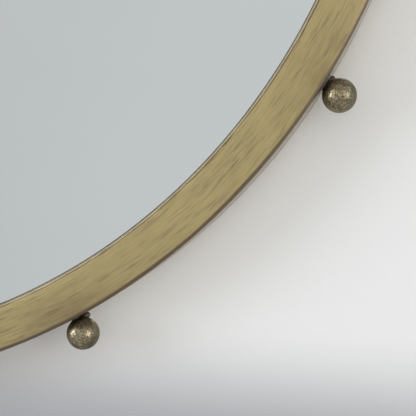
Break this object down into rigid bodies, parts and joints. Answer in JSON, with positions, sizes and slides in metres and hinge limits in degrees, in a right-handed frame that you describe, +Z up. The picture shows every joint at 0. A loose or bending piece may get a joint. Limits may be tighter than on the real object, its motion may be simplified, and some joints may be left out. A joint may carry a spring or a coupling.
{
  "type": "round wall mirror",
  "caption": "Round wall mirror: flat glass in a brushed antique-brass tube ring with small balls set round its rim, hung by two D-loops.",
  "frame": {"origin": "centre of the ring, on the wall plane that the four bumpers touch", "axes": "+Z up, +Y towards the wall; the mirror faces -Y"},
  "size_m": [0.9144, 0.0423, 0.9144],
  "materials": {
    "brushed_brass": "brushed antique brass with darker edges",
    "dark_brass": "speckled dark antique brass",
    "tab_brass": "antique brass, unbrushed",
    "mirror_glass": "silvered flat glass",
    "mastic": "set mirror mastic",
    "fibreboard": "raw medium-density fibreboard",
    "zinc_steel": "bright zinc plate",
    "bumper_rubber": "matt rubber"
  },
  "bodies": {
    "mirror": {"frame_ring": "brushed_brass", "ball_01": "dark_brass", "ball_02": "dark_brass", "ball_03": "dark_brass", "ball_04": "dark_brass", "ball_05": "dark_brass", "ball_06": "dark_brass", "ball_07": "dark_brass", "ball_08": "dark_brass", "ball_09": "dark_brass", "ball_10": "dark_brass", "ball_11": "dark_brass", "ball_12": "dark_brass", "mirror_glass": "mirror_glass", "bond_pad_0": "mastic", "bond_pad_1": "mastic", "bond_pad_2": "mastic", "bond_pad_3": "mastic", "bond_pad_4": "mastic", "bond_pad_5": "mastic", "bond_pad_6": "mastic", "backing_board": "fibreboard", "backing_tab_1": "tab_brass", "backing_tab_2": "tab_brass", "backing_tab_3": "tab_brass", "backing_tab_4": "tab_brass", "backing_tab_5": "tab_brass", "backing_tab_6": "tab_brass", "backing_tab_7": "tab_brass", "backing_tab_8": "tab_brass", "tab_screw_1": "zinc_steel", "tab_screw_2": "zinc_steel", "tab_screw_3": "zinc_steel", "tab_screw_4": "zinc_steel", "tab_screw_5": "zinc_steel", "tab_screw_6": "zinc_steel", "tab_screw_7": "zinc_steel", "tab_screw_8": "zinc_steel", "hanger_strap_left": "zinc_steel", "hanger_strap_right": "zinc_steel", "hanger_screw_left_1": "zinc_steel", "hanger_screw_left_2": "zinc_steel", "hanger_screw_right_1": "zinc_steel", "hanger_screw_right_2": "zinc_steel", "wall_bumper_1": "bumper_rubber", "wall_bumper_2": "bumper_rubber", "wall_bumper_3": "bumper_rubber", "wall_bumper_4": "bumper_rubber"},
    "loop_left": {"hanger_loop_left": "zinc_steel"},
    "loop_right": {"hanger_loop_right": "zinc_steel"}
  },
  "joints": [
    {"name": "loop_left_swing", "type": "hinge", "parent": "mirror", "child": "loop_left", "pos_m": [-0.22, -0.0204, 0.23], "axis": [1, 0, 0], "range_deg": [0, 183]},
    {"name": "loop_right_swing", "type": "hinge", "parent": "mirror", "child": "loop_right", "pos_m": [0.22, -0.0204, 0.23], "axis": [1, 0, 0], "range_deg": [0, 183]}
  ]
}
